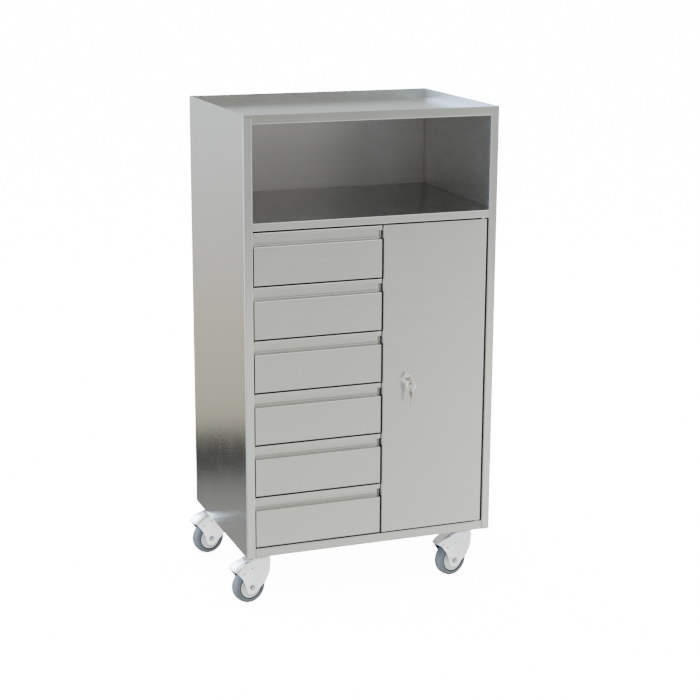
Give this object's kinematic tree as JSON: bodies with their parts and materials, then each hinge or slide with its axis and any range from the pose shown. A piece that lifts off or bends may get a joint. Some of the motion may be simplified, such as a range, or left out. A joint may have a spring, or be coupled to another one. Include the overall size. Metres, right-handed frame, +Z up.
{
  "type": "medication cart",
  "caption": "Stainless steel medication cart on swivel casters, with a recessed tray top, an open compartment, a column of drawers and a lockable cupboard.",
  "frame": {"origin": "on the floor, under the middle of the whole cart's bounding box", "axes": "+Z up; the drawers and the door face -Y; the door's hinge is on the +X side"},
  "size_m": [0.633, 0.4645, 1.118],
  "materials": {
    "brushed_stainless": "brushed",
    "zinc_runner": "galvanised",
    "bright_zinc": "bright zinc plate",
    "lock_chrome": "polished",
    "key_nickel": "worn nickel plate",
    "tyre_rubber": "matt",
    "hub_plastic": "moulded",
    "bush_nylon": "moulded"
  },
  "bodies": {
    "cabinet": {"left_side_panel": "brushed_stainless", "right_side_panel": "brushed_stainless", "back_panel": "brushed_stainless", "top_tray": "brushed_stainless", "compartment_floor": "brushed_stainless", "bottom_panel": "brushed_stainless", "front_cross_member": "brushed_stainless", "rear_cross_member": "brushed_stainless", "centre_partition": "brushed_stainless", "lower_shelf": "brushed_stainless", "upper_shelf": "brushed_stainless", "left_runner_frame": "zinc_runner", "right_runner_frame": "zinc_runner", "upper_hinge_bush": "bush_nylon", "lower_hinge_bush": "bush_nylon", "caster_plate_front_left": "bright_zinc", "caster_plate_front_right": "bright_zinc", "caster_plate_back_left": "bright_zinc", "caster_plate_back_right": "bright_zinc"},
    "drawer_1": {"drawer_front_1": "brushed_stainless", "drawer_box_1": "brushed_stainless"},
    "drawer_2": {"drawer_front_2": "brushed_stainless", "drawer_box_2": "brushed_stainless"},
    "drawer_3": {"drawer_front_3": "brushed_stainless", "drawer_box_3": "brushed_stainless"},
    "drawer_4": {"drawer_front_4": "brushed_stainless", "drawer_box_4": "brushed_stainless"},
    "drawer_5": {"drawer_front_5": "brushed_stainless", "drawer_box_5": "brushed_stainless"},
    "drawer_6": {"drawer_front_6": "brushed_stainless", "drawer_box_6": "brushed_stainless"},
    "door": {"door_panel": "brushed_stainless", "door_liner": "brushed_stainless", "upper_hinge_pin": "bright_zinc", "lower_hinge_pin": "bright_zinc", "lock_housing": "lock_chrome", "lock_nut": "bright_zinc"},
    "lock_core": {"lock_plug": "lock_chrome", "lock_cam": "bright_zinc", "cam_screw": "bright_zinc", "key": "key_nickel"},
    "ring": {"key_ring": "lock_chrome"},
    "hanging_key": {"spare_key": "key_nickel"},
    "caster_front_left": {"caster_fork_front_left": "bright_zinc", "wheel_axle_front_left": "bright_zinc"},
    "rolling_wheel_front_left": {"wheel_hub_front_left": "hub_plastic", "wheel_tyre_front_left": "tyre_rubber"},
    "caster_front_right": {"caster_fork_front_right": "bright_zinc", "wheel_axle_front_right": "bright_zinc"},
    "rolling_wheel_front_right": {"wheel_hub_front_right": "hub_plastic", "wheel_tyre_front_right": "tyre_rubber"},
    "caster_back_left": {"caster_fork_back_left": "bright_zinc", "wheel_axle_back_left": "bright_zinc"},
    "rolling_wheel_back_left": {"wheel_hub_back_left": "hub_plastic", "wheel_tyre_back_left": "tyre_rubber"},
    "caster_back_right": {"caster_fork_back_right": "bright_zinc", "wheel_axle_back_right": "bright_zinc"},
    "rolling_wheel_back_right": {"wheel_hub_back_right": "hub_plastic", "wheel_tyre_back_right": "tyre_rubber"}
  },
  "joints": [
    {"name": "drawer_1_slide", "type": "slide", "parent": "cabinet", "child": "drawer_1", "axis": [0, -1, 0], "range_m": [0, 0.3]},
    {"name": "drawer_2_slide", "type": "slide", "parent": "cabinet", "child": "drawer_2", "axis": [0, -1, 0], "range_m": [0, 0.3]},
    {"name": "drawer_3_slide", "type": "slide", "parent": "cabinet", "child": "drawer_3", "axis": [0, -1, 0], "range_m": [0, 0.3]},
    {"name": "drawer_4_slide", "type": "slide", "parent": "cabinet", "child": "drawer_4", "axis": [0, -1, 0], "range_m": [0, 0.3]},
    {"name": "drawer_5_slide", "type": "slide", "parent": "cabinet", "child": "drawer_5", "axis": [0, -1, 0], "range_m": [0, 0.3]},
    {"name": "drawer_6_slide", "type": "slide", "parent": "cabinet", "child": "drawer_6", "axis": [0, -1, 0], "range_m": [0, 0.3]},
    {"name": "door_hinge", "type": "hinge", "parent": "cabinet", "child": "door", "pos_m": [0.2861, -0.1898, 0.503], "axis": [0, 0, 1], "range_deg": [0, 100]},
    {"name": "lock_turn", "type": "hinge", "parent": "door", "child": "lock_core", "pos_m": [0.1016, -0.1978, 0.506], "axis": [0, 1, 0], "range_deg": [0, 90]},
    {"name": "ring_swing", "type": "hinge", "parent": "lock_core", "child": "ring", "pos_m": [0.1016, -0.2218, 0.506], "axis": [1, 0, 0], "range_deg": [-80, 8]},
    {"name": "hanging_key_swing", "type": "hinge", "parent": "ring", "child": "hanging_key", "pos_m": [0.1016, -0.2218, 0.4854], "axis": [1, 0, 0], "range_deg": [-45, 15]},
    {"name": "swivel_front_left", "type": "hinge", "parent": "cabinet", "child": "caster_front_left", "pos_m": [-0.2354, -0.1508, 0.1], "axis": [0, 0, 1], "continuous": true},
    {"name": "wheel_front_left_spin", "type": "hinge", "parent": "caster_front_left", "child": "rolling_wheel_front_left", "pos_m": [-0.27066, -0.16025, 0.04], "axis": [0.2588, -0.9659, 0], "continuous": true},
    {"name": "swivel_front_right", "type": "hinge", "parent": "cabinet", "child": "caster_front_right", "pos_m": [0.2686, -0.1508, 0.1], "axis": [0, 0, 1], "continuous": true},
    {"name": "wheel_front_right_spin", "type": "hinge", "parent": "caster_front_right", "child": "rolling_wheel_front_right", "pos_m": [0.23334, -0.16025, 0.04], "axis": [0.2588, -0.9659, 0], "continuous": true},
    {"name": "swivel_back_left", "type": "hinge", "parent": "cabinet", "child": "caster_back_left", "pos_m": [-0.2354, 0.1852, 0.1], "axis": [0, 0, 1], "continuous": true},
    {"name": "wheel_back_left_spin", "type": "hinge", "parent": "caster_back_left", "child": "rolling_wheel_back_left", "pos_m": [-0.27066, 0.17575, 0.04], "axis": [0.2588, -0.9659, 0], "continuous": true},
    {"name": "swivel_back_right", "type": "hinge", "parent": "cabinet", "child": "caster_back_right", "pos_m": [0.2686, 0.1852, 0.1], "axis": [0, 0, 1], "continuous": true},
    {"name": "wheel_back_right_spin", "type": "hinge", "parent": "caster_back_right", "child": "rolling_wheel_back_right", "pos_m": [0.23334, 0.17575, 0.04], "axis": [0.2588, -0.9659, 0], "continuous": true}
  ]
}
